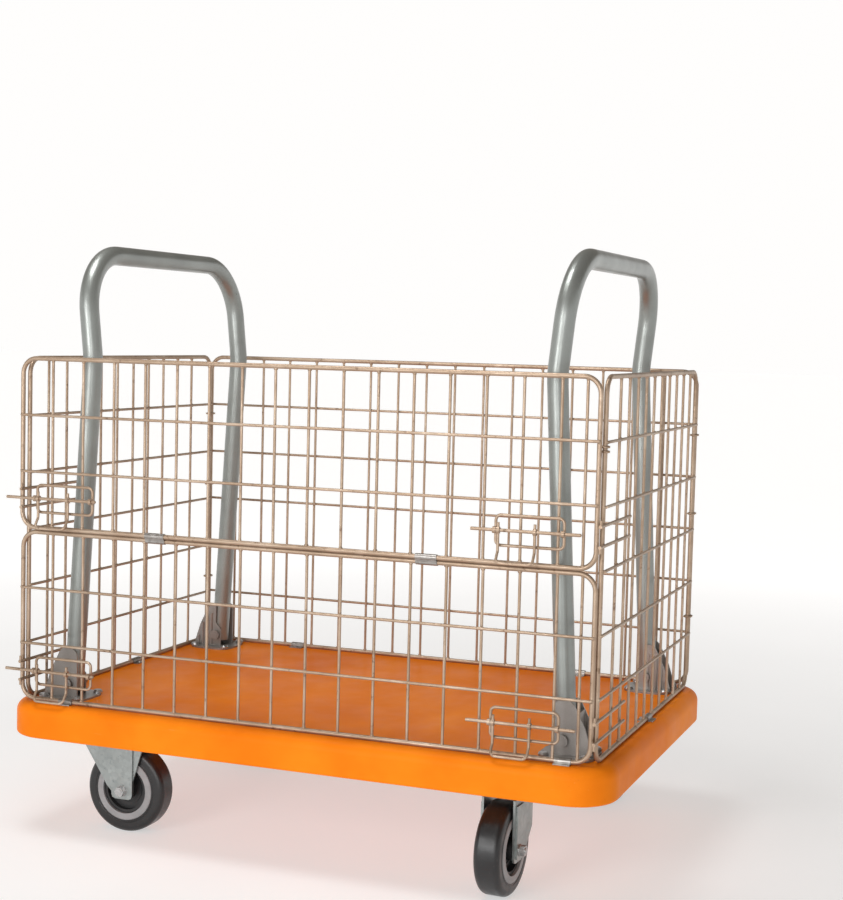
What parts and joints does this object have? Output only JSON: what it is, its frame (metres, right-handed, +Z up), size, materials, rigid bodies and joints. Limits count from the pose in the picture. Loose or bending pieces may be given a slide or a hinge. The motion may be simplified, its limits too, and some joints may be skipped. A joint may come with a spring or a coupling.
{
  "type": "folding platform cart",
  "caption": "Folding platform cart: moulded deck on fixed and swivel casters, two folding tube handles and a wire cage whose front gates drop open.",
  "frame": {"origin": "on the floor under the middle of the deck", "axes": "+X along the cart towards the swivel casters, +Y towards the back panel, +Z up; the gates face -Y"},
  "size_m": [0.9, 0.6099, 0.8524],
  "materials": {
    "deck_plastic": "moulded, satin gloss",
    "handle_paint": "silver-grey paint, satin",
    "bracket_paint": "grey paint, satin",
    "cage_wire": "warm plated wire",
    "zinc": "zinc plated sheet",
    "clip_steel": "dull plated strap",
    "fastener": "bright plated",
    "tyre": "moulded, slightly glossy",
    "wheel_rim": "moulded grey",
    "wheel_hub": "moulded black"
  },
  "bodies": {
    "chassis": {"deck": "deck_plastic", "deck_bolts": "fastener", "deck_nuts": "fastener", "bracket_lf": "bracket_paint", "bracket_lb": "bracket_paint", "bracket_rf": "bracket_paint", "bracket_rb": "bracket_paint", "pivot_pins": "bracket_paint", "end_panel_left": "cage_wire", "end_panel_right": "cage_wire", "back_panel": "cage_wire", "saddle_clips": "clip_steel", "saddle_screws": "fastener", "corner_ties": "cage_wire", "fork_lf": "zinc", "fork_lb": "zinc", "fixed_axles": "fastener", "fixed_axle_nuts": "fastener", "fixed_sleeves": "fastener", "plate_rf": "zinc", "plate_rb": "zinc", "swivel_balls": "fastener", "kingpins": "fastener"},
    "left_handle": {"handle_left": "handle_paint"},
    "right_handle": {"handle_right": "handle_paint"},
    "lower_gate": {"lower_gate": "cage_wire", "hinge_clips": "clip_steel", "guides_lower": "cage_wire"},
    "upper_gate": {"upper_gate": "cage_wire", "guides_upper": "cage_wire"},
    "latch_ul": {"bolt_ul": "cage_wire"},
    "latch_ur": {"bolt_ur": "cage_wire"},
    "latch_ll": {"bolt_ll": "cage_wire"},
    "latch_lr": {"bolt_lr": "cage_wire"},
    "latch_grip_ul": {"grip_ul": "cage_wire"},
    "latch_grip_ur": {"grip_ur": "cage_wire"},
    "latch_grip_ll": {"grip_ll": "cage_wire"},
    "latch_grip_lr": {"grip_lr": "cage_wire"},
    "swivel_rf": {"fork_rf": "zinc", "axle_rf": "fastener", "axle_nut_rf": "fastener", "sleeve_rf": "fastener"},
    "swivel_rb": {"fork_rb": "zinc", "axle_rb": "fastener", "axle_nut_rb": "fastener", "sleeve_rb": "fastener"},
    "wheel_lf": {"tyre_lf": "tyre", "rim_lf": "wheel_rim", "hub_lf": "wheel_hub"},
    "wheel_lb": {"tyre_lb": "tyre", "rim_lb": "wheel_rim", "hub_lb": "wheel_hub"},
    "wheel_rf": {"tyre_rf": "tyre", "rim_rf": "wheel_rim", "hub_rf": "wheel_hub"},
    "wheel_rb": {"tyre_rb": "tyre", "rim_rb": "wheel_rim", "hub_rb": "wheel_hub"}
  },
  "joints": [
    {"name": "left_handle_fold", "type": "hinge", "parent": "chassis", "child": "left_handle", "pos_m": [-0.374, 0, 0.214], "axis": [0, 1, 0], "range_deg": [0, 87]},
    {"name": "right_handle_fold", "type": "hinge", "parent": "chassis", "child": "right_handle", "pos_m": [0.374, 0, 0.214], "axis": [0, 1, 0], "range_deg": [-87, 0]},
    {"name": "lower_gate_drop", "type": "hinge", "parent": "chassis", "child": "lower_gate", "pos_m": [0, -0.275, 0.1955], "axis": [1, 0, 0], "range_deg": [0, 90]},
    {"name": "upper_gate_drop", "type": "hinge", "parent": "lower_gate", "child": "upper_gate", "pos_m": [0, -0.278, 0.44412], "axis": [1, 0, 0], "range_deg": [0, 140]},
    {"name": "latch_ul_slide", "type": "slide", "parent": "upper_gate", "child": "latch_ul", "axis": [1, 0, 0], "range_m": [0, 0.032]},
    {"name": "latch_ul_grip", "type": "hinge", "parent": "latch_ul", "child": "latch_grip_ul", "pos_m": [0, -0.2877, 0.48712], "axis": [1, 0, 0], "range_deg": [-140, 0]},
    {"name": "latch_ur_slide", "type": "slide", "parent": "upper_gate", "child": "latch_ur", "axis": [1, 0, 0], "range_m": [0, 0.032]},
    {"name": "latch_ur_grip", "type": "hinge", "parent": "latch_ur", "child": "latch_grip_ur", "pos_m": [0, -0.2877, 0.48712], "axis": [1, 0, 0], "range_deg": [-140, 0]},
    {"name": "latch_ll_slide", "type": "slide", "parent": "lower_gate", "child": "latch_ll", "axis": [1, 0, 0], "range_m": [0, 0.032]},
    {"name": "latch_ll_grip", "type": "hinge", "parent": "latch_ll", "child": "latch_grip_ll", "pos_m": [0, -0.2877, 0.2385], "axis": [1, 0, 0], "range_deg": [-90, 0]},
    {"name": "latch_lr_slide", "type": "slide", "parent": "lower_gate", "child": "latch_lr", "axis": [1, 0, 0], "range_m": [0, 0.032]},
    {"name": "latch_lr_grip", "type": "hinge", "parent": "latch_lr", "child": "latch_grip_lr", "pos_m": [0, -0.2877, 0.2385], "axis": [1, 0, 0], "range_deg": [-90, 0]},
    {"name": "swivel_rf_turn", "type": "hinge", "parent": "chassis", "child": "swivel_rf", "pos_m": [0.297, -0.205, 0.1], "axis": [0, 0, 1], "continuous": true},
    {"name": "wheel_rf_roll", "type": "hinge", "parent": "swivel_rf", "child": "wheel_rf", "pos_m": [0.29567, -0.24298, 0.0625], "axis": [0.9994, -0.0349, 0], "continuous": true},
    {"name": "swivel_rb_turn", "type": "hinge", "parent": "chassis", "child": "swivel_rb", "pos_m": [0.297, 0.205, 0.1], "axis": [0, 0, 1], "continuous": true},
    {"name": "wheel_rb_roll", "type": "hinge", "parent": "swivel_rb", "child": "wheel_rb", "pos_m": [0.30874, 0.24114, 0.0625], "axis": [-0.9511, 0.309, 0], "continuous": true},
    {"name": "wheel_lf_roll", "type": "hinge", "parent": "chassis", "child": "wheel_lf", "pos_m": [-0.289, -0.205, 0.0625], "axis": [0, 1, 0], "continuous": true},
    {"name": "wheel_lb_roll", "type": "hinge", "parent": "chassis", "child": "wheel_lb", "pos_m": [-0.289, 0.205, 0.0625], "axis": [0, 1, 0], "continuous": true}
  ],
  "couplings": [
    {"joint": "latch_ul_grip", "follows": "upper_gate_drop", "ratio": -1},
    {"joint": "latch_ur_grip", "follows": "upper_gate_drop", "ratio": -1},
    {"joint": "latch_ll_grip", "follows": "lower_gate_drop", "ratio": -1},
    {"joint": "latch_lr_grip", "follows": "lower_gate_drop", "ratio": -1}
  ]
}
